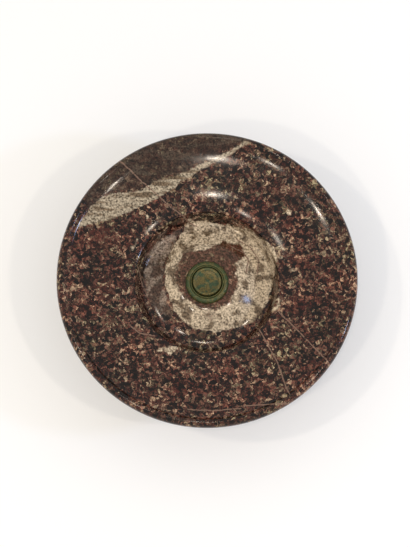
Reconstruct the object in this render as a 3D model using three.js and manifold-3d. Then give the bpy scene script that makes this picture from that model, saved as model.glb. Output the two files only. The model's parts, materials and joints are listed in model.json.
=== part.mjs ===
// A shallow turned marble bowl on a low marble foot. A tie rod clamps the two stones
// together between a bronze boss in the bowl and a nut in a recess under the foot.
// Millimetres, +Z up, origin at the centre of the surface that the bowl stands on.

import * as THREE from "three";
import { mergeVertices } from "three/addons/utils/BufferGeometryUtils.js";
import Module from "manifold-3d";

// Bowl rim: a rolled lip, then a narrow steep band inside it
const BOWL_RADIUS = 150;
const LIP_WIDTH = 5.4; // crest out to the widest point
const LIP_DROP = 7; // crest down to the widest point
const LIP_UNDERCUT = 3.6; // lip's underside in to the flange
const BAND_WIDTH = 5.1;
const BAND_DROP = 4;

// Bowl inside: a wide flange that dips to a steep-walled well with a domed floor
const FLANGE_OUTER_SLOPE = 31; // degrees below level, at the band
const FLANGE_INNER_SLOPE = 29; // degrees below level, at the shoulder
const SHOULDER_RADIUS = 73.5;
const SHOULDER_DEPTH = 23; // below the lip's crest
const SHOULDER_ROUND = 4;
const WALL_SLOPE = 76; // degrees below level
const FLOOR_DEPTH = 45; // lowest ring of the floor, below the lip's crest
const FLOOR_FILLET = 5;
const FLOOR_CROWN = 13; // rise of the floor from its lowest ring to the boss seat

// Bowl outside: a flat seat, a convex belly, a fillet and the flange's hollow underside
const FLOOR_THICKNESS = 13; // under the lowest ring of the floor
const SEAT_RADIUS = 46;
const SEAT_HEIGHT = 2;
const SEAT_SHELF = 3;
const BELLY_RADIUS = 83;
const BELLY_HEIGHT = 22;
const BELLY_FILLET = 2;

// Foot: plinth, hollow waist and spreading head
const FOOT_RADIUS = 55;
const FOOT_HEIGHT = 42;
const FOOT_BEVEL = 1;
const PLINTH_HEIGHT = 8;
const PLINTH_SHELF = 4;
const WAIST_RADIUS = 31;
const WAIST_HEIGHT = 22; // above the foot's underside
const HEAD_MARGIN = 4; // head short of the edge of the bowl's seat
const HEAD_HEIGHT = 4;
const RECESS_RADIUS = 14;
const RECESS_DEPTH = 22;

// Soft layers
const FELT_THICKNESS = 2.5;
const FELT_INSET = 2; // in from the foot's bevelled edge
const FELT_OPENING = 1; // wider than the recess
const BEDDING_THICKNESS = 1.2;
const BEDDING_INSET = 1; // in from the edge of the foot's head
const BOSS_WASHER_THICKNESS = 1;
const BOSS_WASHER_INSET = 0.8; // in from the boss plate's edge
const GASKET_THICKNESS = 1.5;

// Bronze boss: a stepped plate and a dished cap nut on it
const BOSS_RADIUS = 21.8;
const BOSS_EDGE_HEIGHT = 1.2;
const BOSS_SHOULDER_WIDTH = 4; // quarter-round from the edge in to the first groove
const BOSS_SHOULDER_HEIGHT = 4.2;
const BOSS_GROOVE_WIDTH = 0.9;
const BOSS_GROOVE_DEPTH = 1;
const BOSS_BEAD_WIDTH = 1.6;
const BOSS_BEAD_RISE = 0.5;
const BOSS_LEDGE_HEIGHT = 3;
const BOSS_SEAT_MARGIN = 0.8; // stone seat wider than the plate
const CAP_HEIGHT = 4.4;
const CAP_EDGE_ROUND = 1;
const CAP_RIM_WIDTH = 2.2;
const CAP_DISH_DEPTH = 1.7;
const CAP_BUTTON_RADIUS = 3.2;
const CAP_BUTTON_RISE = 0.7;
const CAP_SHANK_RADIUS = 7.5;
const CAP_CROWN_THICKNESS = 2; // metal over the blind bore, under the dish

// Tie rod, washer and nuts
const ROD_RADIUS = 4;
const ROD_CHAMFER = 0.8;
const ROD_TAIL = 4; // below the lock nut
const LOAD_WASHER_RADIUS = 12;
const LOAD_WASHER_THICKNESS = 2;
const NUT_HALF_FLATS = 6.5;
const HEX_NUT_HEIGHT = 6.5;
const LOCK_NUT_HEIGHT = 4;
const NUT_CHAMFER_ANGLE = 30;

// Clearances
const STONE_BORE_CLEARANCE = 1; // between the rod and each stone or soft layer
const THREAD_CLEARANCE = 0.3; // between the rod and what is screwed on it
const SLIP_CLEARANCE = 0.4; // between bronze pieces that pass each other
const WASHER_MARGIN = 0.6; // gasket short of the recess wall

// Facets round the axis
const LARGE_FACETS = 48;
const MIDDLE_FACETS = 32;
const SMALL_FACETS = 24;
const CURVE_STEPS = 4;
const SMALL_CURVE_STEPS = 2;

const headRadius = SEAT_RADIUS - HEAD_MARGIN;
const boreRadius = ROD_RADIUS + STONE_BORE_CLEARANCE;
const threadRadius = ROD_RADIUS + THREAD_CLEARANCE;

// Heights of the stack, each on the one before
const footBase = FELT_THICKNESS;
const footTop = footBase + FOOT_HEIGHT;
const bowlBase = footTop + BEDDING_THICKNESS;
const bowlHeight = FLOOR_DEPTH + FLOOR_THICKNESS;
const bossSeat = bowlBase + FLOOR_THICKNESS + FLOOR_CROWN;
const plateBase = bossSeat + BOSS_WASHER_THICKNESS;
const capBase = plateBase + BOSS_LEDGE_HEIGHT;
const recessCeiling = footBase + RECESS_DEPTH;
const loadWasherBase = recessCeiling - GASKET_THICKNESS - LOAD_WASHER_THICKNESS;
const hexNutBase = loadWasherBase - HEX_NUT_HEIGHT;
const lockNutBase = hexNutBase - LOCK_NUT_HEIGHT;
const rodBase = lockNutBase - ROD_TAIL;

const wasm = await Module();
wasm.setup();

const radians = THREE.MathUtils.degToRad;

// Points of a profile, with curves cut into steps and the closing point repeated.
function outlinePoints(path, steps = CURVE_STEPS) {
  const points = path.getPoints(steps);
  const first = points[0];
  if (points[points.length - 1].distanceTo(first) > 1e-6) points.push(first.clone());
  return points;
}

// A profile of (radius, height) points, anticlockwise, turned round the Z axis.
function turned(path, facets, steps) {
  const geometry = new THREE.LatheGeometry(outlinePoints(path, steps), facets);
  return geometry.rotateX(Math.PI / 2);
}

// A plain ring from a profile of two radii and a thickness, standing on height 0.
function flatRing(innerRadius, outerRadius, thickness, facets) {
  const path = new THREE.Path();
  path.moveTo(innerRadius, 0);
  path.lineTo(outerRadius, 0);
  path.lineTo(outerRadius, thickness);
  path.lineTo(innerRadius, thickness);
  path.closePath();
  return turned(path, facets);
}

function solidOf(geometry) {
  const bare = geometry.clone();
  bare.deleteAttribute("normal");
  bare.deleteAttribute("uv");
  const merged = mergeVertices(bare, 1e-3);
  const mesh = new wasm.Mesh({
    numProp: 3,
    vertProperties: merged.attributes.position.array,
    triVerts: new Uint32Array(merged.index.array),
  });
  return new wasm.Manifold(mesh);
}

function geometryOf(solid) {
  const { vertProperties, triVerts } = solid.getMesh();
  const geometry = new THREE.BufferGeometry();
  geometry.setAttribute("position", new THREE.BufferAttribute(vertProperties, 3));
  geometry.setIndex(new THREE.BufferAttribute(triVerts, 1));
  geometry.computeVertexNormals();
  return geometry;
}

// The point where a surface that falls towards the axis at a slope touches a circle:
// the circle's centre plus its radius along the surface's upward normal.
function onSlope(centre, radius, slope) {
  return new THREE.Vector2(
    centre.x - radius * Math.sin(slope),
    centre.y + radius * Math.cos(slope),
  );
}

// Inside of the bowl from the lip's crest to the boss seat, heights from the bowl's seat.
function addBowlInside(path) {
  const crest = new THREE.Vector2(BOWL_RADIUS - LIP_WIDTH, bowlHeight);
  const band = new THREE.Vector2(crest.x - BAND_WIDTH, crest.y - BAND_DROP);
  const shoulder = new THREE.Vector2(SHOULDER_RADIUS, bowlHeight - SHOULDER_DEPTH);
  const outerSlope = radians(FLANGE_OUTER_SLOPE);
  const innerSlope = radians(FLANGE_INNER_SLOPE);
  const wallSlope = radians(WALL_SLOPE);

  const bandHandle = BAND_WIDTH / 3;
  path.bezierCurveTo(
    crest.x - bandHandle,
    crest.y,
    band.x + bandHandle,
    band.y + bandHandle * Math.tan(outerSlope),
    band.x,
    band.y,
  );

  const flangeHandle = (band.x - shoulder.x) / 4;
  path.bezierCurveTo(
    band.x - flangeHandle,
    band.y - flangeHandle * Math.tan(outerSlope),
    shoulder.x + flangeHandle,
    shoulder.y + flangeHandle * Math.tan(innerSlope),
    shoulder.x,
    shoulder.y,
  );

  const shoulderCentre = onSlope(shoulder, -SHOULDER_ROUND, innerSlope);
  const wallTop = onSlope(shoulderCentre, SHOULDER_ROUND, wallSlope);
  const rightAngle = Math.PI / 2;
  path.absarc(
    shoulderCentre.x,
    shoulderCentre.y,
    SHOULDER_ROUND,
    rightAngle + innerSlope,
    rightAngle + wallSlope,
  );

  const filletHeight = FLOOR_THICKNESS + FLOOR_FILLET;
  const wallFootHeight = filletHeight - FLOOR_FILLET * Math.cos(wallSlope);
  const wallRun = (wallTop.y - wallFootHeight) / Math.tan(wallSlope);
  const floorEdge = wallTop.x - wallRun - FLOOR_FILLET * Math.sin(wallSlope);
  path.absarc(
    floorEdge,
    filletHeight,
    FLOOR_FILLET,
    wallSlope - rightAngle,
    -rightAngle,
    true,
  );

  const seatEdge = BOSS_RADIUS + BOSS_SEAT_MARGIN;
  const seatHeight = FLOOR_THICKNESS + FLOOR_CROWN;
  const floorHandle = (floorEdge - seatEdge) / 3;
  path.bezierCurveTo(
    floorEdge - floorHandle,
    FLOOR_THICKNESS,
    seatEdge + floorHandle,
    seatHeight,
    seatEdge,
    seatHeight,
  );
}

function bowl() {
  const crestRadius = BOWL_RADIUS - LIP_WIDTH;
  const lipBase = bowlHeight - 2 * LIP_DROP;
  const flangeEdge = crestRadius - LIP_UNDERCUT;
  const bellyTop = SEAT_HEIGHT + BELLY_HEIGHT;
  const bellyInner = SEAT_RADIUS + SEAT_SHELF;
  const filletRadius = BELLY_RADIUS + BELLY_FILLET;
  const flangeStart = bellyTop + BELLY_FILLET;
  const hollowRun = flangeEdge - filletRadius;
  const hollowRise = lipBase - flangeStart;

  const path = new THREE.Path();
  path.moveTo(boreRadius, 0);
  path.lineTo(SEAT_RADIUS, 0);
  path.lineTo(SEAT_RADIUS, SEAT_HEIGHT);
  path.lineTo(bellyInner, SEAT_HEIGHT);
  path.absellipse(
    bellyInner,
    bellyTop,
    BELLY_RADIUS - bellyInner,
    BELLY_HEIGHT,
    -Math.PI / 2,
    0,
  );
  path.lineTo(filletRadius, bellyTop);
  path.lineTo(filletRadius, flangeStart);
  path.bezierCurveTo(
    filletRadius + hollowRun / 4,
    flangeStart + hollowRise / 4,
    flangeEdge - hollowRun / 3,
    lipBase - hollowRise / 2,
    flangeEdge,
    lipBase,
  );
  path.lineTo(crestRadius, lipBase);
  path.absellipse(
    crestRadius,
    bowlHeight - LIP_DROP,
    LIP_WIDTH,
    LIP_DROP,
    -Math.PI / 2,
    Math.PI / 2,
  );
  addBowlInside(path);
  path.lineTo(boreRadius, bowlHeight - FLOOR_DEPTH + FLOOR_CROWN);
  path.closePath();
  return turned(path, LARGE_FACETS);
}

// Plinth with a rounded top edge, a hollow waist and a straight-edged head.
function foot() {
  const plinthInner = FOOT_RADIUS - PLINTH_SHELF;
  const headBase = FOOT_HEIGHT - HEAD_HEIGHT;
  const lowerRise = WAIST_HEIGHT - PLINTH_HEIGHT;
  const upperRise = headBase - WAIST_HEIGHT;
  const path = new THREE.Path();
  path.moveTo(RECESS_RADIUS, 0);
  path.lineTo(FOOT_RADIUS - FOOT_BEVEL, 0);
  path.lineTo(FOOT_RADIUS, FOOT_BEVEL);
  path.lineTo(FOOT_RADIUS, PLINTH_HEIGHT - PLINTH_SHELF);
  path.absarc(plinthInner, PLINTH_HEIGHT - PLINTH_SHELF, PLINTH_SHELF, 0, Math.PI / 2);
  path.bezierCurveTo(
    WAIST_RADIUS + (plinthInner - WAIST_RADIUS) / 4,
    PLINTH_HEIGHT,
    WAIST_RADIUS,
    WAIST_HEIGHT - lowerRise / 2,
    WAIST_RADIUS,
    WAIST_HEIGHT,
  );
  path.bezierCurveTo(
    WAIST_RADIUS,
    WAIST_HEIGHT + upperRise / 2,
    headRadius - (headRadius - WAIST_RADIUS) / 3,
    headBase,
    headRadius,
    headBase,
  );
  path.lineTo(headRadius, FOOT_HEIGHT);
  path.lineTo(boreRadius, FOOT_HEIGHT);
  path.lineTo(boreRadius, RECESS_DEPTH);
  path.lineTo(RECESS_RADIUS, RECESS_DEPTH);
  path.closePath();
  return turned(path, MIDDLE_FACETS);
}

// Outer quarter-round, groove, bead, groove, then the ledge that takes the cap nut.
function bossPlate() {
  const holeRadius = CAP_SHANK_RADIUS + SLIP_CLEARANCE;
  const shoulderInner = BOSS_RADIUS - BOSS_SHOULDER_WIDTH;
  const quarterHeight = BOSS_SHOULDER_HEIGHT - BOSS_EDGE_HEIGHT;
  const grooveFloor = BOSS_SHOULDER_HEIGHT - BOSS_GROOVE_DEPTH;
  const beadOuter = shoulderInner - BOSS_GROOVE_WIDTH;
  const beadInner = beadOuter - BOSS_BEAD_WIDTH;
  const beadHeight = BOSS_GROOVE_DEPTH + BOSS_BEAD_RISE;
  const path = new THREE.Path();
  path.moveTo(holeRadius, 0);
  path.lineTo(BOSS_RADIUS, 0);
  path.lineTo(BOSS_RADIUS, BOSS_EDGE_HEIGHT);
  path.absellipse(
    shoulderInner,
    BOSS_EDGE_HEIGHT,
    BOSS_SHOULDER_WIDTH,
    quarterHeight,
    0,
    Math.PI / 2,
  );
  path.lineTo(shoulderInner, grooveFloor);
  path.lineTo(beadOuter, grooveFloor);
  path.absellipse(
    (beadOuter + beadInner) / 2,
    grooveFloor,
    BOSS_BEAD_WIDTH / 2,
    beadHeight,
    0,
    Math.PI,
  );
  path.lineTo(beadInner, BOSS_LEDGE_HEIGHT);
  path.lineTo(holeRadius, BOSS_LEDGE_HEIGHT);
  path.closePath();
  return turned(path, MIDDLE_FACETS, SMALL_CURVE_STEPS);
}

// Radius of the cap nut: it stands inside the plate's bead, with a groove left between.
function capRadius() {
  const beadInner = BOSS_RADIUS - BOSS_SHOULDER_WIDTH - BOSS_GROOVE_WIDTH - BOSS_BEAD_WIDTH;
  return beadInner - BOSS_GROOVE_WIDTH;
}

// Head with a raised rim round a shallow dish, on a shank with a blind threaded bore.
// Heights are from the plate's ledge, so the shank reaches below 0.
function bossCapNut() {
  const radius = capRadius();
  const rimInner = radius - CAP_RIM_WIDTH;
  const dishFloor = CAP_HEIGHT - CAP_DISH_DEPTH;
  const dishRun = (rimInner - CAP_BUTTON_RADIUS) / 3;
  const shankBase = SLIP_CLEARANCE - BOSS_LEDGE_HEIGHT;
  const boreTop = dishFloor - CAP_CROWN_THICKNESS;
  const path = new THREE.Path();
  path.moveTo(0, boreTop);
  path.lineTo(threadRadius, boreTop);
  path.lineTo(threadRadius, shankBase);
  path.lineTo(CAP_SHANK_RADIUS, shankBase);
  path.lineTo(CAP_SHANK_RADIUS, 0);
  path.lineTo(radius, 0);
  path.lineTo(radius, CAP_HEIGHT - CAP_EDGE_ROUND);
  path.absarc(
    radius - CAP_EDGE_ROUND,
    CAP_HEIGHT - CAP_EDGE_ROUND,
    CAP_EDGE_ROUND,
    0,
    Math.PI / 2,
  );
  path.lineTo(rimInner, CAP_HEIGHT);
  path.bezierCurveTo(
    rimInner - dishRun / 2,
    dishFloor,
    CAP_BUTTON_RADIUS + dishRun,
    dishFloor,
    CAP_BUTTON_RADIUS,
    dishFloor,
  );
  path.absellipse(0, dishFloor, CAP_BUTTON_RADIUS, CAP_BUTTON_RISE, 0, Math.PI / 2);
  return turned(path, MIDDLE_FACETS, SMALL_CURVE_STEPS);
}

function tieRod() {
  const capCrown = capBase + CAP_HEIGHT - CAP_DISH_DEPTH - CAP_CROWN_THICKNESS;
  const length = capCrown - THREAD_CLEARANCE - rodBase;
  const path = new THREE.Path();
  path.moveTo(0, 0);
  path.lineTo(ROD_RADIUS - ROD_CHAMFER, 0);
  path.lineTo(ROD_RADIUS, ROD_CHAMFER);
  path.lineTo(ROD_RADIUS, length - ROD_CHAMFER);
  path.lineTo(ROD_RADIUS - ROD_CHAMFER, length);
  path.lineTo(0, length);
  return turned(path, SMALL_FACETS);
}

// A six-sided nut whose corners are chamfered by a turned blank, with a round bore.
function nut(height) {
  const corner = NUT_HALF_FLATS / Math.cos(Math.PI / 6);
  const corners = [];
  for (let i = 0; i < 6; i += 1) {
    const angle = (i * Math.PI) / 3;
    corners.push(new THREE.Vector2(corner * Math.cos(angle), corner * Math.sin(angle)));
  }
  const hexagon = new THREE.Shape(corners);
  hexagon.holes.push(new THREE.Path().absarc(0, 0, threadRadius, 0, 2 * Math.PI));
  const prism = new THREE.ExtrudeGeometry(hexagon, {
    depth: height,
    bevelEnabled: false,
    curveSegments: SMALL_FACETS,
  });

  const drop = (corner - NUT_HALF_FLATS) * Math.tan(radians(NUT_CHAMFER_ANGLE));
  const blank = new THREE.Path();
  blank.moveTo(0, 0);
  blank.lineTo(NUT_HALF_FLATS, 0);
  blank.lineTo(corner, drop);
  blank.lineTo(corner, height - drop);
  blank.lineTo(NUT_HALF_FLATS, height);
  blank.lineTo(0, height);
  return geometryOf(solidOf(prism).intersect(solidOf(turned(blank, SMALL_FACETS))));
}

function feltRing() {
  const outer = FOOT_RADIUS - FOOT_BEVEL - FELT_INSET;
  return flatRing(RECESS_RADIUS + FELT_OPENING, outer, FELT_THICKNESS, MIDDLE_FACETS);
}

function beddingRing() {
  const outer = headRadius - BEDDING_INSET;
  return flatRing(boreRadius, outer, BEDDING_THICKNESS, MIDDLE_FACETS);
}

function bossWasher() {
  const outer = BOSS_RADIUS - BOSS_WASHER_INSET;
  return flatRing(boreRadius, outer, BOSS_WASHER_THICKNESS, MIDDLE_FACETS);
}

function recessGasket() {
  const outer = RECESS_RADIUS - WASHER_MARGIN;
  return flatRing(threadRadius, outer, GASKET_THICKNESS, SMALL_FACETS);
}

function loadWasher() {
  const outer = LOAD_WASHER_RADIUS;
  return flatRing(threadRadius, outer, LOAD_WASHER_THICKNESS, SMALL_FACETS);
}

const marble = () =>
  new THREE.MeshStandardMaterial({ color: 0x5a4540, roughness: 0.22, metalness: 0 });
const bronze = () =>
  new THREE.MeshStandardMaterial({ color: 0x48502f, roughness: 0.45, metalness: 0.7 });
const steel = () =>
  new THREE.MeshStandardMaterial({ color: 0x8c8a85, roughness: 0.4, metalness: 0.9 });
const leather = () =>
  new THREE.MeshStandardMaterial({ color: 0x4b3324, roughness: 0.75, metalness: 0 });
const felt = () =>
  new THREE.MeshStandardMaterial({ color: 0x24402e, roughness: 0.95, metalness: 0 });

// Name, geometry, material and the height that each piece stands at
const pieces = [
  ["felt_ring", feltRing(), felt(), 0],
  ["foot", foot(), marble(), footBase],
  ["bedding_ring", beddingRing(), leather(), footTop],
  ["bowl", bowl(), marble(), bowlBase],
  ["boss_washer", bossWasher(), leather(), bossSeat],
  ["boss_plate", bossPlate(), bronze(), plateBase],
  ["boss_cap_nut", bossCapNut(), bronze(), capBase],
  ["tie_rod", tieRod(), steel(), rodBase],
  ["recess_gasket", recessGasket(), leather(), recessCeiling - GASKET_THICKNESS],
  ["load_washer", loadWasher(), steel(), loadWasherBase],
  ["hex_nut", nut(HEX_NUT_HEIGHT), steel(), hexNutBase],
  ["lock_nut", nut(LOCK_NUT_HEIGHT), steel(), lockNutBase],
];

const marbleBowl = new THREE.Group();
for (const [name, geometry, material, height] of pieces) {
  const mesh = new THREE.Mesh(geometry, material);
  mesh.name = name;
  mesh.position.z = height;
  marbleBowl.add(mesh);
}

export default marbleBowl;
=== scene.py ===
"""A turned polychrome marble bowl with a bronze boss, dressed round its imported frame.

Lengths in the classes are millimetres and meshes are metres. Heights are above the
surface that the bowl stands on. Places named as photo pixels are in a 410 by 547 frame
and are carried onto the bowl's inside by the camera's own rays.
"""

import json
import logging
from dataclasses import dataclass, field
from enum import Enum

import bpy
import numpy as np
from mathutils import Matrix, Vector


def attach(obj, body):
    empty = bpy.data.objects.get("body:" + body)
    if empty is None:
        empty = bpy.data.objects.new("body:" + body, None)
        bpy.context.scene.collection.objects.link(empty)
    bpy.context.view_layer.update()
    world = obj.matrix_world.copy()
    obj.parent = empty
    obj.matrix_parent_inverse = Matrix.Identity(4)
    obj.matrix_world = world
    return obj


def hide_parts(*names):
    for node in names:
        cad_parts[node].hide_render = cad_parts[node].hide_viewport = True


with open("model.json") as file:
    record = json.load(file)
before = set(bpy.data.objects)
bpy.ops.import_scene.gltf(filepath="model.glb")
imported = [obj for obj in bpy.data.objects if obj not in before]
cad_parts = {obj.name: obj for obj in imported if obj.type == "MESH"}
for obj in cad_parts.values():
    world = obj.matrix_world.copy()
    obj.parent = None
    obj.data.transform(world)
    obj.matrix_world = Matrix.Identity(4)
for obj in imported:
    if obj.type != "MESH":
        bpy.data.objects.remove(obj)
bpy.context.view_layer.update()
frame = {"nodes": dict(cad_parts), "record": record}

LOG = logging.getLogger("marble_bowl")
MM = 0.001
BODY = "root"
Points = list[tuple[float, float]]


class Finish(Enum):
    """The record's material slots."""

    MARBLE = "marble"
    BRONZE = "bronze"
    STEEL = "steel"
    LEATHER = "leather"
    FELT = "felt"


# Profiles of turned pieces
def bezier(points: Points, count: int) -> np.ndarray:
    """Cubic curve: the four points weighted by the Bernstein polynomials of t.

    Args:
        points: start, two handles and end, as (radius, height).
        count: steps along the curve.

    Returns:
        (count, 2) points after the start.
    """
    t = np.linspace(0, 1, count + 1)[1:, None]
    a, b, c, d = (np.array(p, float) for p in points)
    s = 1 - t
    return s**3 * a + 3 * s**2 * t * b + 3 * s * t**2 * c + t**3 * d


def arc(centre: tuple[float, float], radii: tuple[float, float], turn: tuple[float, float],
        count: int) -> np.ndarray:
    """Ellipse arc: centre plus radii times the cosine and sine of the angle.

    Args:
        centre: (radius, height) of the middle.
        radii: half-widths along the radius and the height.
        turn: first and last angle in radians.
        count: steps along the arc.

    Returns:
        (count + 1, 2) points.
    """
    angle = np.linspace(*turn, count + 1)
    return np.stack([centre[0] + radii[0] * np.cos(angle), centre[1] + radii[1] * np.sin(angle)], 1)


def line(start: tuple[float, float], end: tuple[float, float], count: int = 1) -> np.ndarray:
    """Straight run from start to end: (count + 1, 2) evenly spaced points."""
    return np.linspace(start, end, count + 1)


def turned_mesh(name: str, profile: np.ndarray, columns: int) -> bpy.types.Object:
    """Revolves a profile: x = r cos a, y = r sin a, z = h, over profile and angle.

    The profile runs anticlockwise in (radius, height). It closes on itself, or starts
    and ends on the axis, where each end becomes a single pole vertex.

    Args:
        name: the object's name.
        profile: (n, 2) radii and heights in millimetres.
        columns: steps round the axis.

    Returns:
        The object, smooth shaded, at the origin.
    """
    keep = np.ones(len(profile), bool)
    keep[1:] = np.linalg.norm(np.diff(profile, axis=0), axis=1) > 1e-5
    profile = profile[keep]
    on_axis = profile[0, 0] < 1e-6
    if not on_axis and np.linalg.norm(profile[0] - profile[-1]) < 1e-5:
        profile = profile[:-1]
    ring = profile[1:-1] if on_axis else profile
    angle = np.linspace(0, 2 * np.pi, columns, endpoint=False)
    radius, height = ring[:, :1], ring[:, 1:]
    grid = np.stack([radius * np.cos(angle), radius * np.sin(angle),
                     height + 0 * angle], 2).reshape(-1, 3)
    rows = len(ring)
    row = np.arange(rows - 1 if on_axis else rows)[:, None]
    column = np.arange(columns)[None, :]
    after, beside = (row + 1) % rows, (column + 1) % columns
    quads = np.stack([row * columns + column, row * columns + beside,
                      after * columns + beside, after * columns + column], 2).reshape(-1, 4)
    faces = quads.tolist()
    if on_axis:
        first, last = len(grid), len(grid) + 1
        grid = np.vstack([grid, [0, 0, profile[0, 1]], [0, 0, profile[-1, 1]]])
        base = (rows - 1) * columns
        edge, beside = column[0], (column[0] + 1) % columns
        faces += np.stack([0 * edge + first, beside, edge], 1).tolist()
        faces += np.stack([0 * edge + last, base + edge, base + beside], 1).tolist()
    mesh = bpy.data.meshes.new(name)
    mesh.from_pydata(grid * MM, [], faces)
    mesh.polygons.foreach_set("use_smooth", np.ones(len(mesh.polygons), bool))
    mesh.update()
    piece = bpy.data.objects.new(name, mesh)
    bpy.context.scene.collection.objects.link(piece)
    return piece


@dataclass
class PhotoCamera:
    """The photograph's viewpoint: nearly overhead, a long way off."""

    width: int = 410
    height: int = 547
    distance: float = 1500.0
    elevation: float = 77.6
    focal_pixels: float = 1512.0
    target: tuple[float, float, float] = (-2.1, 2.7, 103.7)

    def axes(self) -> tuple[np.ndarray, np.ndarray, np.ndarray]:
        """Right, up and forward of the view, for an azimuth that looks along +Y."""
        e = np.radians(self.elevation)
        return (np.array([1.0, 0, 0]), np.array([0, np.sin(e), np.cos(e)]),
                np.array([0, np.cos(e), -np.sin(e)]))

    def eye(self) -> np.ndarray:
        """The camera's place in millimetres."""
        return np.array(self.target) - self.distance * self.axes()[2]

    def rays(self, pixels: np.ndarray) -> np.ndarray:
        """Directions through (n, 2) photo pixels: forward plus the pixel's offsets."""
        right, up, forward = self.axes()
        across = (pixels[:, :1] + 0.5 - self.width / 2) / self.focal_pixels
        down = (pixels[:, 1:] + 0.5 - self.height / 2) / self.focal_pixels
        return forward + across * right - down * up

    def build(self) -> None:
        """Adds the camera to the scene and makes it the active one."""
        data = bpy.data.cameras.new("camera")
        data.sensor_width = 36
        data.lens = self.focal_pixels / self.height * data.sensor_width
        camera = bpy.data.objects.new("camera", data)
        right, up, forward = self.axes()
        turn = Matrix((right, up, -forward)).transposed()
        camera.matrix_world = Matrix.Translation(Vector(self.eye() * MM)) @ turn.to_4x4()
        bpy.context.scene.collection.objects.link(camera)
        bpy.context.scene.camera = camera


@dataclass
class BowlShape:
    """The bowl's turned profile, in the sizes of the construction."""

    radius: float = 150.0
    lip_width: float = 5.4
    lip_drop: float = 7.0
    lip_undercut: float = 3.6
    band_width: float = 5.1
    band_drop: float = 4.0
    outer_slope: float = 31.0
    inner_slope: float = 29.0
    shoulder_radius: float = 73.5
    shoulder_depth: float = 23.0
    shoulder_round: float = 4.0
    wall_slope: float = 76.0
    floor_depth: float = 45.0
    floor_fillet: float = 5.0
    floor_crown: float = 13.0
    boss_seat: float = 22.6
    floor_thickness: float = 13.0
    seat_radius: float = 46.0
    seat_height: float = 2.0
    seat_shelf: float = 3.0
    belly_radius: float = 83.0
    belly_height: float = 22.0
    belly_fillet: float = 2.0
    bore: float = 5.0
    base: float = 45.7
    columns: int = 360

    def inside(self) -> np.ndarray:
        """Profile from the lip's crest to the boss seat, by curves, arcs and a straight wall."""
        top = self.base + self.floor_depth + self.floor_thickness
        crest = np.array([self.radius - self.lip_width, top])
        band = crest - [self.band_width, self.band_drop]
        shoulder = np.array([self.shoulder_radius, top - self.shoulder_depth])
        outer, inner, wall = np.radians([self.outer_slope, self.inner_slope, self.wall_slope])
        short, long = self.band_width / 3, (band[0] - shoulder[0]) / 4
        round_ = self.shoulder_round
        middle = shoulder + round_ * np.array([np.sin(inner), -np.cos(inner)])
        wall_top = middle + round_ * np.array([-np.sin(wall), np.cos(wall)])
        floor = top - self.floor_depth
        fillet = self.floor_fillet
        wall_foot = floor + fillet * (1 - np.cos(wall))
        edge = wall_top[0] - (wall_top[1] - wall_foot) / np.tan(wall) - fillet * np.sin(wall)
        third = (edge - self.boss_seat) / 3
        right_angle = np.pi / 2
        return np.vstack([
            bezier([crest, crest - [short, 0], band + [short, short * np.tan(outer)], band], 8),
            bezier([band, band - [long, long * np.tan(outer)],
                    shoulder + [long, long * np.tan(inner)], shoulder], 56),
            arc(middle, (round_, round_), (right_angle + inner, right_angle + wall), 8),
            line(wall_top, (edge + fillet * np.sin(wall), wall_foot), 10)[1:],
            arc((edge, floor + fillet), (fillet, fillet), (wall - right_angle, -right_angle), 8),
            bezier([(edge, floor), (edge - third, floor),
                    (self.boss_seat + third, floor + self.floor_crown),
                    (self.boss_seat, floor + self.floor_crown)], 36),
        ])

    def profile(self) -> np.ndarray:
        """The whole closed profile, anticlockwise from the bore at the bowl's seat."""
        top = self.base + self.floor_depth + self.floor_thickness
        crest = self.radius - self.lip_width
        lip = top - 2 * self.lip_drop
        flange = crest - self.lip_undercut
        shelf = self.seat_radius + self.seat_shelf
        seat = self.base + self.seat_height
        belly = seat + self.belly_height
        fillet = self.belly_radius + self.belly_fillet
        start = belly + self.belly_fillet
        run, rise = flange - fillet, lip - start
        return np.vstack([
            line((self.bore, self.base), (self.seat_radius, self.base), 12),
            line((self.seat_radius, seat), (shelf, seat), 1),
            arc((shelf, belly), (self.belly_radius - shelf, self.belly_height),
                (-np.pi / 2, 0), 24),
            line((fillet, belly), (fillet, start), 1),
            bezier([(fillet, start), (fillet + run / 4, start + rise / 4),
                    (flange - run / 3, lip - rise / 2), (flange, lip)], 30),
            line((flange, lip), (crest, lip), 1)[1:],
            arc((crest, top - self.lip_drop), (self.lip_width, self.lip_drop),
                (-np.pi / 2, np.pi / 2), 20),
            self.inside(),
            line((self.boss_seat, top - self.floor_depth + self.floor_crown),
                 (self.bore, top - self.floor_depth + self.floor_crown), 5)[1:],
            line((self.bore, top - self.floor_depth + self.floor_crown),
                 (self.bore, self.base), 4)[1:],
        ])

    def on_inside(self, camera: PhotoCamera, pixels: Points) -> np.ndarray:
        """Carries photo pixels onto the bowl's inside by meeting each ray with its height.

        Args:
            camera: the photograph's viewpoint.
            pixels: places in the photo.

        Returns:
            (n, 3) points in millimetres.
        """
        inside = self.inside()[::-1]
        rays, eye = camera.rays(np.array(pixels, float)), camera.eye()
        height = np.full(len(pixels), inside[-1, 1])
        for _ in range(12):
            reach = (height - eye[2]) / rays[:, 2]
            place = eye + reach[:, None] * rays
            found = np.interp(np.hypot(place[:, 0], place[:, 1]), inside[:, 0], inside[:, 1])
            height = (height + found) / 2
        return place


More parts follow.
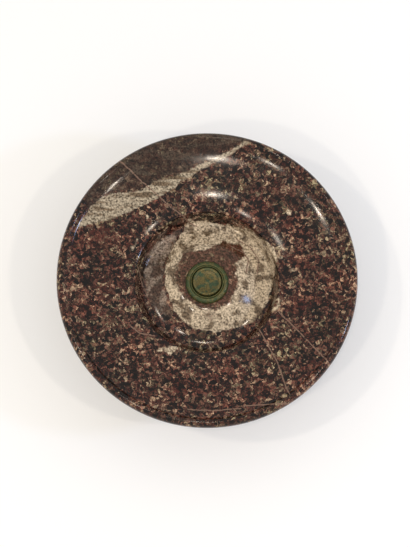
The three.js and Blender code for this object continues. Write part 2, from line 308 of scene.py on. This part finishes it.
# Stone markings and painted light, as outlines of places read in the photo
@dataclass(frozen=True)
class Markings:
    """Outlines and lines of the stone's larger markings, of a painted sheen and of painted
    highlight lines, in photo pixels.
    """

    pale_band: Points = field(default_factory=lambda: [
        (76, 227), (100, 221), (116, 216), (138, 207), (156.5, 198), (170.5, 190), (181, 181),
        (199, 170), (223, 158), (249, 141), (243, 141), (229, 150), (210, 159), (186, 171),
        (170, 176), (154, 181), (138, 191), (108, 193), (92, 204)])
    smooth_zone: Points = field(default_factory=lambda: [
        (84, 212), (108, 193), (138, 191), (154, 181), (186, 171), (229, 150), (249, 138),
        (225, 124), (180, 126), (140, 140), (110, 160), (86, 190)])
    pale_heart: Points = field(default_factory=lambda: [
        (188, 219), (206, 220.6), (221, 224), (238, 226), (252, 230), (258, 238), (270, 242),
        (277, 254), (273, 278), (267, 302), (253, 322), (231, 328), (215, 332), (191, 328),
        (175, 312), (164.5, 286), (164.5, 266), (172.5, 247.5)])
    red_core: Points = field(default_factory=lambda: [
        (175, 275), (182, 253), (200, 250), (212, 247), (223, 241), (240, 244), (245, 255),
        (235, 264), (237, 287), (230, 302), (216, 309), (200, 309), (186, 298), (177, 287)])
    # Painted sheen: the pale grey patch on the left flank of the well stands in for reflected
    # window light.
    painted_sheen_zone: Points = field(default_factory=lambda: [
        (180, 229), (158, 238), (147, 256), (144, 275), (147, 296), (155, 310), (172, 318),
        (166, 300), (163, 286), (163, 266), (171, 248)])
    veins_and_glints: list[Points] = field(default_factory=lambda: [
        [(120, 161), (130, 170), (146, 185), (158.5, 196), (170.5, 207), (183, 216), (194, 225)],
        [(279, 312), (300, 333), (321, 354), (329, 364)],
        [(257, 328), (267, 344), (277, 362), (288, 392)],
        # Painted highlights: these two pale lines along the rim's near side stand in for glints of
        # light, not veining.
        [(190, 409), (214, 410), (238, 408)],
        [(247, 405), (266, 404), (285, 403)],
        [(137.8, 268.7), (140, 276), (141.8, 284)],
        [(238, 240), (250, 247), (258, 259), (257, 271)],
        [(233, 247), (243, 252), (248, 260), (246, 270)],
        [(131, 326), (140, 333), (152, 335)]])
    white_spots: list[tuple[float, float, float, float]] = field(default_factory=lambda: [
        (146, 227, 2.5, 10), (135, 250, 4.5, 11), (167, 349.5, 9, 4), (190.5, 354, 4.5, 4),
        (297, 274, 9, 7), (280, 256, 4, 9), (280, 299, 4, 8), (274, 308, 6, 2.5),
        (288, 212, 2, 2)])
    red_spots: list[tuple[float, float, float, float]] = field(default_factory=lambda: [
        (103, 236, 14, 13), (103, 286, 8, 10), (286, 225, 5, 4), (276, 189, 4, 3),
        (269, 205, 3, 3), (211, 314.5, 3.5, 4), (236, 249, 7, 6)])


def outline_distance(places: np.ndarray, corners: np.ndarray) -> np.ndarray:
    """Signed distance to a closed outline: the nearest edge's, negative inside it.

    Args:
        places: (n, 2) places.
        corners: (m, 2) corners in order.

    Returns:
        (n,) distances.
    """
    start, end = corners, np.roll(corners, -1, axis=0)
    edge = end - start
    gap = places[:, None] - start
    share = np.clip((gap * edge).sum(2) / (edge**2).sum(1), 0, 1)
    nearest = np.linalg.norm(gap - share[..., None] * edge, axis=2).min(1)
    above = (start[:, 1] > places[:, 1:]) != (end[:, 1] > places[:, 1:])
    rise = np.where(np.abs(edge[:, 1]) < 1e-9, 1e-9, edge[:, 1])
    crossing = start[:, 0] + (places[:, 1:] - start[:, 1]) * edge[:, 0] / rise
    within = (above & (places[:, :1] < crossing)).sum(1) % 2 == 1
    return np.where(within, -nearest, nearest)


def vein_and_glint_distance(places: np.ndarray, veins_and_glints: list[np.ndarray]) -> tuple[np.ndarray, np.ndarray]:
    """Distance across the nearest line of the veining and of the painted highlights, signed by
    side, and the plain distance to it.

    Args:
        places: (n, 2) places.
        veins_and_glints: each line's (m, 2) points, the veining's and the painted highlights'
            alike.

    Returns:
        Signed distance across, and distance to the nearest point.
    """
    start = np.vstack([v[:-1] for v in veins_and_glints])
    edge = np.vstack([np.diff(v, axis=0) for v in veins_and_glints])
    gap = places[:, None] - start
    share = np.clip((gap * edge).sum(2) / (edge**2).sum(1), 0, 1)
    apart = np.linalg.norm(gap - share[..., None] * edge, axis=2)
    nearest = apart.argmin(1)
    pick = np.arange(len(places))
    side = gap[pick, nearest, 0] * edge[nearest, 1] - gap[pick, nearest, 1] * edge[nearest, 0]
    return side / np.linalg.norm(edge[nearest], axis=1), apart[pick, nearest]


# Shader graphs
class Graph:
    """A node tree with one short method for each kind of node that the finishes use."""

    def __init__(self, tree: bpy.types.NodeTree) -> None:
        """Keeps the tree."""
        self.tree = tree

    def add(self, kind: str, inputs: dict | None = None, **settings: object) -> bpy.types.Node:
        """Adds a node.

        Args:
            kind: the node's type name.
            inputs: socket name or index to a value or to another node's output.
            settings: properties of the node itself.

        Returns:
            The node.
        """
        node = self.tree.nodes.new(kind)
        for name, value in settings.items():
            setattr(node, name, value)
        for key, value in (inputs or {}).items():
            if isinstance(value, bpy.types.NodeSocket):
                self.tree.links.new(value, node.inputs[key])
            else:
                node.inputs[key].default_value = value
        return node

    def math(self, operation: str, a: object, b: object = 0.0) -> bpy.types.NodeSocket:
        """One arithmetic step, clamped to no range."""
        return self.add("ShaderNodeMath", {0: a, 1: b}, operation=operation).outputs[0]

    def mix(self, factor: object, a: object, b: object,
            blend: str = "MIX") -> bpy.types.NodeSocket:
        """Mixes colour a towards b by factor."""
        node = self.add("ShaderNodeMix", data_type="RGBA", blend_type=blend)
        for index, value in ((0, factor), (6, a), (7, b)):
            if isinstance(value, bpy.types.NodeSocket):
                self.tree.links.new(value, node.inputs[index])
            else:
                node.inputs[index].default_value = value
        return node.outputs[2]

    def fall(self, value: object, low: float, high: float) -> bpy.types.NodeSocket:
        """1 below low, 0 above high and smooth between."""
        node = self.add("ShaderNodeMapRange", {0: value, 1: low, 2: high, 3: 1.0, 4: 0.0},
                        interpolation_type="SMOOTHSTEP")
        return node.outputs[0]

    def ramp(self, factor: object, stops: list[tuple], steps: bool = False) -> bpy.types.NodeSocket:
        """Colours by factor, from (place, colour) stops."""
        node = self.add("ShaderNodeValToRGB", {0: factor})
        ramp = node.color_ramp
        ramp.interpolation = "CONSTANT" if steps else "LINEAR"
        while len(ramp.elements) < len(stops):
            ramp.elements.new(1.0)
        for element, (place, colour) in zip(ramp.elements, stops):
            element.position = place
            element.color = (*colour, 1)
        return node.outputs[0]

    def noise(self, vector: object, scale: float, detail: float = 4.0) -> bpy.types.Node:
        """Fractal noise."""
        return self.add("ShaderNodeTexNoise",
                        {"Vector": vector, "Scale": scale, "Detail": detail})

    def place(self) -> bpy.types.NodeSocket:
        """Object coordinates."""
        coordinates = self.add("ShaderNodeTexCoord").outputs["Object"]
        return self.add("ShaderNodeMapping", {"Vector": coordinates}).outputs[0]

    def attribute(self, name: str) -> bpy.types.NodeSocket:
        """A number kept on the mesh's vertices."""
        return self.add("ShaderNodeAttribute", attribute_name=name).outputs["Fac"]


def stone_grain() -> bpy.types.NodeTree:
    """Group: irregular mineral grains in two sizes, tinted patch by patch.

    Returns:
        A group with Vector in, and Color and Height out.
    """
    tree = bpy.data.node_groups.new("stone_grain", "ShaderNodeTree")
    face = tree.interface
    face.new_socket("Vector", in_out="INPUT", socket_type="NodeSocketVector")
    face.new_socket("Color", in_out="OUTPUT", socket_type="NodeSocketColor")
    face.new_socket("Height", in_out="OUTPUT", socket_type="NodeSocketFloat")
    g = Graph(tree)
    vector = g.add("NodeGroupInput").outputs[0]
    swirl = g.noise(vector, 230, 3).outputs["Color"]
    shift = g.add("ShaderNodeVectorMath", {0: swirl, 1: (0.5, 0.5, 0.5)}, operation="SUBTRACT")
    shift = g.add("ShaderNodeVectorMath", {0: shift.outputs[0], "Scale": 0.0085}, operation="SCALE")
    warped = g.add("ShaderNodeVectorMath", {0: vector, 1: shift.outputs[0]}, operation="ADD")
    warped = warped.outputs[0]
    large = g.add("ShaderNodeTexVoronoi", {"Vector": warped, "Scale": 290.0})
    small = g.add("ShaderNodeTexVoronoi", {"Vector": warped, "Scale": 620.0})
    large_pick = g.add("ShaderNodeSeparateColor", {0: large.outputs["Color"]}).outputs[0]
    small_pick = g.add("ShaderNodeSeparateColor", {0: small.outputs["Color"]}).outputs[1]
    patch = g.math("SUBTRACT", g.noise(vector, 24, 3).outputs[0], 0.5)
    pick = g.math("ADD", g.math("MULTIPLY", large_pick, 0.62), g.math("MULTIPLY", small_pick, 0.38))
    pick = g.math("ADD", pick, g.math("MULTIPLY", patch, 0.35))
    minerals = [(0.0, (0.003, 0.002, 0.0015)), (0.36, (0.008, 0.0045, 0.003)),
                (0.44, (0.030, 0.010, 0.007)), (0.52, (0.068, 0.018, 0.013)),
                (0.57, (0.020, 0.020, 0.010)), (0.63, (0.095, 0.042, 0.030)),
                (0.71, (0.18, 0.078, 0.055)), (0.78, (0.075, 0.062, 0.038)),
                (0.90, (0.42, 0.31, 0.21))]
    colour = g.ramp(pick, minerals)
    cloud = g.noise(vector, 900, 2).outputs[0]
    shade = g.ramp(cloud, [(0.3, (0.45, 0.45, 0.45)), (0.7, (1.55, 1.52, 1.46))])
    colour = g.mix(1.0, colour, shade, "MULTIPLY")
    tint = g.ramp(g.noise(vector, 38, 4).outputs[0],
                  [(0.36, (0.90, 1.0, 0.86)), (0.50, (1.0, 0.97, 0.93)),
                   (0.64, (1.12, 0.88, 0.82))])
    colour = g.mix(1.0, colour, tint, "MULTIPLY")
    g.add("NodeGroupOutput", {0: colour, 1: pick})
    return tree


def wear_mask() -> bpy.types.NodeTree:
    """Group: broken patches of wear or growth, from fractal noise cut at a level.

    Returns:
        A group with Vector, Scale and Level in, and Mask out.
    """
    tree = bpy.data.node_groups.new("wear_mask", "ShaderNodeTree")
    face = tree.interface
    face.new_socket("Vector", in_out="INPUT", socket_type="NodeSocketVector")
    face.new_socket("Scale", in_out="INPUT", socket_type="NodeSocketFloat")
    face.new_socket("Level", in_out="INPUT", socket_type="NodeSocketFloat")
    face.new_socket("Mask", in_out="OUTPUT", socket_type="NodeSocketFloat")
    g = Graph(tree)
    source = g.add("NodeGroupInput").outputs
    noise = g.noise(source["Vector"], 1.0, 6)
    tree.links.new(source["Scale"], noise.inputs["Scale"])
    above = g.math("SUBTRACT", noise.outputs[0], source["Level"])
    mask = g.add("ShaderNodeMapRange", {0: above, 1: -0.06, 2: 0.06},
                 interpolation_type="SMOOTHSTEP").outputs[0]
    g.add("NodeGroupOutput", {0: mask})
    return tree


@dataclass(frozen=True)
class Marble:
    """Polished breccia: mineral grains crossed by pale calcite, in linear colours."""

    grain: bpy.types.NodeTree
    pale: tuple = (0.52, 0.42, 0.30, 1)
    pale_shadow: tuple = (0.15, 0.105, 0.065, 1)
    band: tuple = (0.36, 0.30, 0.22, 1)
    smooth: tuple = (0.036, 0.021, 0.014, 1)
    smooth_streak: tuple = (0.075, 0.054, 0.038, 1)
    # Painted sheen colours for the well's left flank, darker and paler.
    sheen_colour: tuple = (0.085, 0.054, 0.038, 1)
    sheen_pale: tuple = (0.30, 0.235, 0.185, 1)
    red: tuple = (0.085, 0.020, 0.012, 1)
    # Colour of the veining and also of the painted highlight lines along the rim's near side.
    vein_and_glint: tuple = (0.24, 0.145, 0.10, 1)
    roughness: float = 0.11
    gloss: float = 0.22

    def material(self, name: str, marked: bool) -> bpy.types.Material:
        """Builds the finish.

        Args:
            name: the material's name.
            marked: whether the mesh holds the larger markings' distances.

        Returns:
            The material.
        """
        made = bpy.data.materials.new(name)
        made.use_nodes = True
        g = Graph(made.node_tree)
        shader = made.node_tree.nodes["Principled BSDF"]
        place = g.place()
        grain = g.add("ShaderNodeGroup", node_tree=self.grain)
        made.node_tree.links.new(place, grain.inputs[0])
        colour = grain.outputs[0]
        if marked:
            colour = self.marked(g, place, colour)
        made.node_tree.links.new(colour, shader.inputs["Base Color"])
        smear = g.noise(place, 60, 5).outputs[0]
        rough = g.add("ShaderNodeMapRange",
                      {0: smear, 1: 0.3, 2: 0.7, 3: self.roughness * 0.7, 4: self.roughness * 1.5})
        made.node_tree.links.new(rough.outputs[0], shader.inputs["Roughness"])
        bump = g.add("ShaderNodeBump",
                     {"Height": grain.outputs[1], "Strength": 0.05, "Distance": 0.0004})
        made.node_tree.links.new(bump.outputs[0], shader.inputs["Normal"])
        shader.inputs["Specular IOR Level"].default_value = self.gloss
        return made

    def marked(self, g: Graph, place: object, colour: object) -> bpy.types.NodeSocket:
        """Lays the larger markings over the grain, each cut by its distance plus noise; a painted
        sheen and painted highlight lines are laid the same way.
        """
        ragged = g.math("SUBTRACT", g.noise(place, 170, 7).outputs[0], 0.5)
        ragged = g.math("MULTIPLY", ragged, 13.0)
        speck = g.noise(place, 520, 4).outputs[0]
        wisps = g.noise(place, 95, 8).outputs[0]
        fleck = g.ramp(speck, [(0.36, (0.22, 0.20, 0.17)), (0.47, (0.80, 0.78, 0.74)),
                               (0.55, (1.05, 1.03, 0.99)), (0.68, (1.6, 1.57, 1.5))])

        def area(name: str, reach: float, soft: float) -> bpy.types.NodeSocket:
            """Mask of an outline grown by reach and softened, with a ragged edge."""
            distance = g.math("ADD", g.attribute(name), g.math("MULTIPLY", ragged, reach))
            return g.fall(distance, -soft, soft)

        smooth = g.math("MULTIPLY", area("smooth_zone", 1.0, 4.0), 0.72)
        drawn = g.add("ShaderNodeMapping", {"Vector": place, "Rotation": (0, 0, -0.55),
                                            "Scale": (0.3, 1.6, 1)}).outputs[0]
        folds = g.noise(drawn, 120, 7).outputs[0]
        streak = g.mix(g.fall(folds, 0.4, 0.5), self.smooth, self.smooth_streak)
        colour = g.mix(smooth, colour, g.mix(1.0, streak, fleck, "MULTIPLY"))
        band = g.mix(g.fall(folds, 0.38, 0.52), self.band, self.pale_shadow)
        band = g.mix(1.0, band, fleck, "MULTIPLY")
        colour = g.mix(area("pale_band", 0.45, 0.9), colour, band)
        # Painted sheen on the well's left flank: reflected window light laid in as a pale grey
        # patch, streaked by the stone's wisps.
        sheen_colour = g.mix(g.fall(wisps, 0.44, 0.56), self.sheen_pale, self.sheen_colour)
        sheen_colour = g.mix(1.0, sheen_colour, fleck, "MULTIPLY")
        colour = g.mix(g.math("MULTIPLY", area("painted_sheen_zone", 0.9, 2.5), 0.75), colour, sheen_colour)
        pale = g.mix(g.fall(wisps, 0.38, 0.52), self.pale, self.pale_shadow)
        pale = g.mix(0.9, pale, fleck, "MULTIPLY")
        heart = area("pale_heart", 0.5, 0.8)
        core = area("red_core", 0.8, 1.2)
        outside_core = g.math("SUBTRACT", 1.0, core)
        warm = g.mix(0.55, colour, g.mix(g.fall(speck, 0.42, 0.6), (0.17, 0.075, 0.045, 1),
                                         (0.045, 0.026, 0.010, 1)))
        colour = g.mix(heart, colour, warm)
        colour = g.mix(g.math("MULTIPLY", heart, outside_core), colour, pale)
        red = g.math("MULTIPLY", area("red_spots", 1.0, 4.0), g.fall(speck, 0.6, 0.42))
        red = g.math("MULTIPLY", red, 0.6)
        colour = g.mix(red, colour, self.red)
        white = g.math("MULTIPLY", area("white_spots", 0.8, 1.0), g.fall(wisps, 0.62, 0.5))
        colour = g.mix(white, colour, g.mix(1.0, self.pale, fleck, "MULTIPLY"))
        # The veining and the painted highlight lines along the rim's near side: one pale colour
        # with a dark middle line.
        across = g.math("ADD", g.attribute("vein_and_glint_across"), g.math("MULTIPLY", ragged, 0.16))
        across = g.math("ABSOLUTE", across)
        near = g.fall(g.attribute("vein_and_glint_near"), 2.0, 3.5)
        vein_and_glint = g.math("MULTIPLY", g.fall(across, 0.25, 0.85), near)
        vein_and_glint = g.math("MULTIPLY", vein_and_glint, g.fall(speck, 0.48, 0.32))
        colour = g.mix(vein_and_glint, colour, self.vein_and_glint)
        seam = g.math("MULTIPLY", g.fall(across, 0.05, 0.28), near)
        return g.mix(g.math("MULTIPLY", seam, 0.6), colour, (0.09, 0.05, 0.035, 1))


@dataclass(frozen=True)
class Metal:
    """A worn metal: a base colour showing through a duller growth in patches."""

    wear: bpy.types.NodeTree
    base: tuple
    growth: tuple
    deep: tuple
    metallic: float
    roughness: float
    patch_scale: float
    level: float
    rubbed: tuple = (0.21, 0.17, 0.055, 1)

    def material(self, name: str) -> bpy.types.Material:
        """Builds the finish."""
        made = bpy.data.materials.new(name)
        made.use_nodes = True
        g = Graph(made.node_tree)
        shader = made.node_tree.nodes["Principled BSDF"]
        place = g.place()
        mask = g.add("ShaderNodeGroup", {"Scale": self.patch_scale, "Level": self.level},
                     node_tree=self.wear)
        fine = g.add("ShaderNodeGroup", {"Scale": self.patch_scale * 3.4, "Level": 0.5},
                     node_tree=self.wear)
        for group in (mask, fine):
            made.node_tree.links.new(place, group.inputs["Vector"])
        colour = g.mix(mask.outputs[0], self.base, self.growth)
        colour = g.mix(g.math("MULTIPLY", fine.outputs[0], 0.5), colour, self.deep)
        edge = g.add("ShaderNodeNewGeometry").outputs["Pointiness"]
        colour = g.mix(g.fall(edge, 0.56, 0.51), colour, self.rubbed)
        made.node_tree.links.new(colour, shader.inputs["Base Color"])
        rough = g.math("ADD", self.roughness, g.math("MULTIPLY", mask.outputs[0], 0.2))
        made.node_tree.links.new(rough, shader.inputs["Roughness"])
        bump = g.add("ShaderNodeBump",
                     {"Height": fine.outputs[0], "Strength": 0.3, "Distance": 0.0003})
        made.node_tree.links.new(bump.outputs[0], shader.inputs["Normal"])
        shader.inputs["Metallic"].default_value = self.metallic
        return made


@dataclass(frozen=True)
class Fibre:
    """Leather or felt: close creases or fibres in two shades."""

    light: tuple
    dark: tuple
    scale: float
    bump: float

    def material(self, name: str) -> bpy.types.Material:
        """Builds the finish."""
        made = bpy.data.materials.new(name)
        made.use_nodes = True
        g = Graph(made.node_tree)
        shader = made.node_tree.nodes["Principled BSDF"]
        place = g.place()
        fibres = g.noise(place, self.scale, 8).outputs[0]
        colour = g.mix(g.fall(fibres, 0.35, 0.65), self.light, self.dark)
        made.node_tree.links.new(colour, shader.inputs["Base Color"])
        bump = g.add("ShaderNodeBump",
                     {"Height": fibres, "Strength": self.bump, "Distance": 0.0005})
        made.node_tree.links.new(bump.outputs[0], shader.inputs["Normal"])
        shader.inputs["Roughness"].default_value = 0.9
        return made


def dress(piece: bpy.types.Object, material: bpy.types.Material,
          node: str) -> None:
    """Gives a new piece its material and body, hides the CAD node it stands for and logs it."""
    piece.data.materials.append(material)
    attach(piece, BODY)
    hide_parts(node)
    LOG.info("%s stands for %s: %d faces", piece.name, node, len(piece.data.polygons))


@dataclass
class Bowl:
    """The bowl with its markings."""

    shape: BowlShape
    camera: PhotoCamera
    markings: Markings = field(default_factory=Markings)

    def build(self, material: bpy.types.Material) -> None:
        """Turns the bowl, keeps each marking's distance on its vertices and dresses it."""
        piece = turned_mesh("bowl_stone", self.shape.profile(), self.shape.columns)
        mesh = piece.data
        flat = np.empty(len(mesh.vertices) * 3, np.float32)
        mesh.vertices.foreach_get("co", flat)
        places = flat.reshape(-1, 3)[:, :2].astype(float) / MM
        for name in ("pale_band", "smooth_zone", "pale_heart", "red_core", "painted_sheen_zone"):
            corners = self.shape.on_inside(self.camera, getattr(self.markings, name))[:, :2]
            self.keep(mesh, name, outline_distance(places, corners))
        veins_and_glints = [self.shape.on_inside(self.camera, v)[:, :2] for v in self.markings.veins_and_glints]
        across, near = vein_and_glint_distance(places, veins_and_glints)
        self.keep(mesh, "vein_and_glint_across", across)
        self.keep(mesh, "vein_and_glint_near", near)
        for name in ("white_spots", "red_spots"):
            self.keep(mesh, name, self.spots(places, getattr(self.markings, name)))
        dress(piece, material, "bowl")

    def spots(self, places: np.ndarray, ovals: list[tuple]) -> np.ndarray:
        """Distance to the nearest oval: its scaled radius less one, times its half-width.

        Args:
            places: (n, 2) places in millimetres.
            ovals: centre and half-widths in photo pixels, where a pixel is about 1 mm.

        Returns:
            (n,) distances, negative inside.
        """
        centres = self.shape.on_inside(self.camera, [o[:2] for o in ovals])[:, :2]
        halves = np.array([o[2:] for o in ovals], float)
        scaled = np.linalg.norm((places[:, None] - centres) / halves, axis=2)
        return ((scaled - 1) * halves.min(1)).min(1)

    @staticmethod
    def keep(mesh: bpy.types.Mesh, name: str, values: np.ndarray) -> None:
        """Writes one number per vertex under a name."""
        layer = mesh.attributes.new(name, "FLOAT", "POINT")
        layer.data.foreach_set("value", values.astype(np.float32))


@dataclass
class Foot:
    """The turned foot: plinth, hollow waist and head, with a recess beneath."""

    radius: float = 55.0
    height: float = 42.0
    bevel: float = 1.0
    plinth: float = 8.0
    shelf: float = 4.0
    waist_radius: float = 31.0
    waist_height: float = 22.0
    head_radius: float = 42.0
    head_height: float = 4.0
    recess_radius: float = 14.0
    recess_depth: float = 22.0
    bore: float = 5.0
    base: float = 2.5
    columns: int = 160

    def profile(self) -> np.ndarray:
        """Closed profile, anticlockwise from the recess's mouth."""
        inner = self.radius - self.shelf
        head = self.height - self.head_height
        lower, upper = self.waist_height - self.plinth, head - self.waist_height
        waist, tall = self.waist_radius, self.waist_height
        points = np.vstack([
            line((self.recess_radius, 0), (self.radius - self.bevel, 0), 4),
            line((self.radius, self.bevel), (self.radius, self.plinth - self.shelf), 2),
            arc((inner, self.plinth - self.shelf), (self.shelf, self.shelf), (0, np.pi / 2), 12),
            bezier([(inner, self.plinth), (waist + (inner - waist) / 4, self.plinth),
                    (waist, tall - lower / 2), (waist, tall)], 24),
            bezier([(waist, tall), (waist, tall + upper / 2),
                    (self.head_radius - (self.head_radius - waist) / 3, head),
                    (self.head_radius, head)], 24),
            line((self.head_radius, head), (self.head_radius, self.height), 2)[1:],
            line((self.head_radius, self.height), (self.bore, self.height), 4)[1:],
            line((self.bore, self.height), (self.bore, self.recess_depth), 3)[1:],
            line((self.bore, self.recess_depth), (self.recess_radius, self.recess_depth), 1)[1:],
            line((self.recess_radius, self.recess_depth), (self.recess_radius, 0), 4)[1:],
        ])
        return points + [0, self.base]

    def build(self, material: bpy.types.Material) -> None:
        """Turns and dresses the foot."""
        piece = turned_mesh("foot_stone", self.profile(), self.columns)
        dress(piece, material, "foot")


@dataclass
class Boss:
    """The bronze boss: a stepped plate and a dished cap nut."""

    radius: float = 21.8
    edge: float = 1.2
    shoulder: float = 4.0
    shoulder_height: float = 4.2
    groove: float = 0.9
    groove_depth: float = 1.0
    bead: float = 1.6
    bead_rise: float = 0.5
    ledge: float = 3.0
    slip: float = 0.4
    shank: float = 7.5
    cap_height: float = 4.4
    cap_round: float = 1.0
    rim: float = 2.2
    dish: float = 1.7
    button: float = 3.2
    button_rise: float = 0.7
    crown: float = 2.0
    thread: float = 4.3
    base: float = 72.7
    columns: int = 160

    def plate(self) -> np.ndarray:
        """Closed profile of the plate, anticlockwise from its hole."""
        hole = self.shank + self.slip
        inner = self.radius - self.shoulder
        floor = self.shoulder_height - self.groove_depth
        outer_bead = inner - self.groove
        inner_bead = outer_bead - self.bead
        return np.vstack([
            line((hole, 0), (self.radius, 0), 3),
            arc((inner, self.edge), (self.shoulder, self.shoulder_height - self.edge),
                (0, np.pi / 2), 16),
            line((inner, floor), (outer_bead, floor), 2),
            arc(((outer_bead + inner_bead) / 2, floor),
                (self.bead / 2, self.groove_depth + self.bead_rise), (0, np.pi), 16),
            line((inner_bead, self.ledge), (hole, self.ledge), 2),
            line((hole, self.ledge), (hole, 0), 2)[1:],
        ]) + [0, self.base]

    def cap(self) -> np.ndarray:
        """Profile of the cap nut from the axis in its bore to the axis on its button."""
        radius = self.radius - self.shoulder - 2 * self.groove - self.bead
        rim = radius - self.rim
        dish = self.cap_height - self.dish
        run = (rim - self.button) / 3
        shank_base = self.slip - self.ledge
        bore = dish - self.crown
        side = self.cap_height - self.cap_round
        return np.vstack([
            line((0, bore), (self.thread, bore), 1),
            line((self.thread, shank_base), (self.shank, shank_base), 1),
            line((self.shank, 0), (radius, 0), 2),
            arc((radius - self.cap_round, side), (self.cap_round, self.cap_round),
                (0, np.pi / 2), 8),
            bezier([(rim, self.cap_height), (rim - run / 2, dish),
                    (self.button + run, dish), (self.button, dish)], 20),
            arc((0, dish), (self.button, self.button_rise), (0, np.pi / 2), 10),
        ]) + [0, self.base + self.ledge]

    def build(self, plate: bpy.types.Material, cap: bpy.types.Material) -> None:
        """Turns and dresses both pieces."""
        dress(turned_mesh("boss_plate_bronze", self.plate(), self.columns), plate,
              "boss_plate")
        dress(turned_mesh("boss_cap_bronze", self.cap(), self.columns), cap,
              "boss_cap_nut")


@dataclass
class Studio:
    """Pale floor, even sky and small warm lamps placed where their glints show."""

    camera: PhotoCamera
    shape: BowlShape
    reach: float = 1900.0
    glints: Points = field(default_factory=lambda: [
        (112.4, 185.1), (216.7, 158.0), (270.3, 163.2), (318.1, 211.5)])
    window_glint: tuple[float, float] = (78.0, 224.5)

    def lamp(self, name: str, pixel: tuple[float, float], size: float, power: float,
             colour: tuple[float, float, float]) -> None:
        """Puts a lamp where the bowl mirrors it at a pixel: the view's ray less twice its
        part along the surface's normal."""
        spot, beside = self.shape.on_inside(self.camera, [pixel, pixel])
        inside = self.shape.inside()[::-1]
        radius = np.hypot(*spot[:2])
        half = 0.5
        heights = np.interp([radius - half, radius + half], inside[:, 0], inside[:, 1])
        rise = (heights[1] - heights[0]) / (2 * half)
        outward = np.array([spot[0], spot[1], 0]) / radius
        normal = np.array([0, 0, 1]) - rise * outward
        normal /= np.linalg.norm(normal)
        ray = self.camera.rays(np.array([pixel], float))[0]
        ray /= np.linalg.norm(ray)
        away = ray - 2 * ray.dot(normal) * normal
        data = bpy.data.lights.new(name, "AREA")
        data.size, data.energy, data.color = size, power, colour
        lamp = bpy.data.objects.new(name, data)
        lamp.location = Vector((spot + self.reach * away) * MM)
        lamp.rotation_euler = Vector(-away).to_track_quat("-Z", "Y").to_euler()
        bpy.context.scene.collection.objects.link(lamp)

    def floor(self) -> None:
        """A wide pale plane under the bowl."""
        mesh = bpy.data.meshes.new("floor")
        half = 6.0
        corners = [(-half, -half, 0), (half, -half, 0), (half, half, 0), (-half, half, 0)]
        mesh.from_pydata(corners, [], [(0, 1, 2, 3)])
        floor = bpy.data.objects.new("floor", mesh)
        material = bpy.data.materials.new("floor")
        material.use_nodes = True
        shader = material.node_tree.nodes["Principled BSDF"]
        shader.inputs["Base Color"].default_value = (0.93, 0.93, 0.92, 1)
        shader.inputs["Roughness"].default_value = 0.9
        mesh.materials.append(material)
        bpy.context.scene.collection.objects.link(floor)

    def world(self) -> None:
        """An even sky that shows as white."""
        world = bpy.data.worlds.new("sky")
        bpy.context.scene.world = world
        world.use_nodes = True
        g = Graph(world.node_tree)
        path = g.add("ShaderNodeLightPath").outputs
        seen = g.math("MAXIMUM", path["Is Camera Ray"], path["Is Transmission Ray"])
        seen = g.math("MAXIMUM", seen, path["Is Glossy Ray"])
        strength = g.add("ShaderNodeMapRange", {0: seen, 3: 0.78, 4: 1.0}).outputs[0]
        world.node_tree.links.new(strength, world.node_tree.nodes["Background"].inputs[1])
        world.node_tree.nodes["Background"].inputs[0].default_value = (1, 1, 1, 1)

    def build(self) -> None:
        """Adds floor, sky and lamps."""
        self.floor()
        self.world()
        for index, pixel in enumerate(self.glints):
            self.lamp(f"ceiling_{index}", pixel, 0.08, 3.4, (1, 0.88, 0.74))
        self.lamp("window", self.window_glint, 0.16, 5.0, (0.5, 0.64, 1))
        bpy.context.scene.view_settings.view_transform = "Standard"


def dress_frame(materials: dict[Finish, bpy.types.Material]) -> None:
    """Gives each CAD node that stays its finish, by the record's own slots."""
    for entry in frame["record"]["subparts"]:
        node = frame["nodes"][entry["node"]]
        finish = Finish(entry["material_slot"])
        if finish not in materials or node.hide_render:
            continue
        node.data.materials.clear()
        node.data.materials.append(materials[finish])
        LOG.info("%s keeps its own mesh in %s", node.name, finish.value)


def main() -> None:
    """Builds camera, stone, bronze, the frame's finishes and the studio."""
    logging.basicConfig(level=logging.INFO, format="%(message)s")
    camera, shape = PhotoCamera(), BowlShape()
    camera.build()
    marble, wear = Marble(stone_grain()), wear_mask()
    Bowl(shape, camera).build(marble.material("marble_bowl", marked=True))
    Foot().build(marble.material("marble_foot", marked=False))
    plate = Metal(wear, (0.088, 0.078, 0.016, 1), (0.034, 0.058, 0.014, 1),
                  (0.012, 0.014, 0.004, 1), 0.35, 0.34, 230, 0.48)
    cap = Metal(wear, (0.100, 0.074, 0.014, 1), (0.026, 0.052, 0.018, 1),
                (0.012, 0.014, 0.005, 1), 0.45, 0.30, 210, 0.52)
    steel = Metal(wear, (0.50, 0.49, 0.46, 1), (0.30, 0.25, 0.2, 1),
                  (0.36, 0.34, 0.31, 1), 0.9, 0.35, 150, 0.56, (0.58, 0.57, 0.54, 1))
    Boss().build(plate.material("bronze_plate"), cap.material("bronze_cap"))
    leather = Fibre((0.09, 0.045, 0.022, 1), (0.04, 0.02, 0.012, 1), 900, 0.5)
    felt = Fibre((0.03, 0.075, 0.045, 1), (0.012, 0.035, 0.02, 1), 2600, 0.9)
    dress_frame({Finish.STEEL: steel.material("steel"),
                 Finish.LEATHER: leather.material("leather"),
                 Finish.FELT: felt.material("felt")})
    Studio(camera, shape).build()


if __name__ == "__main__":
    main()
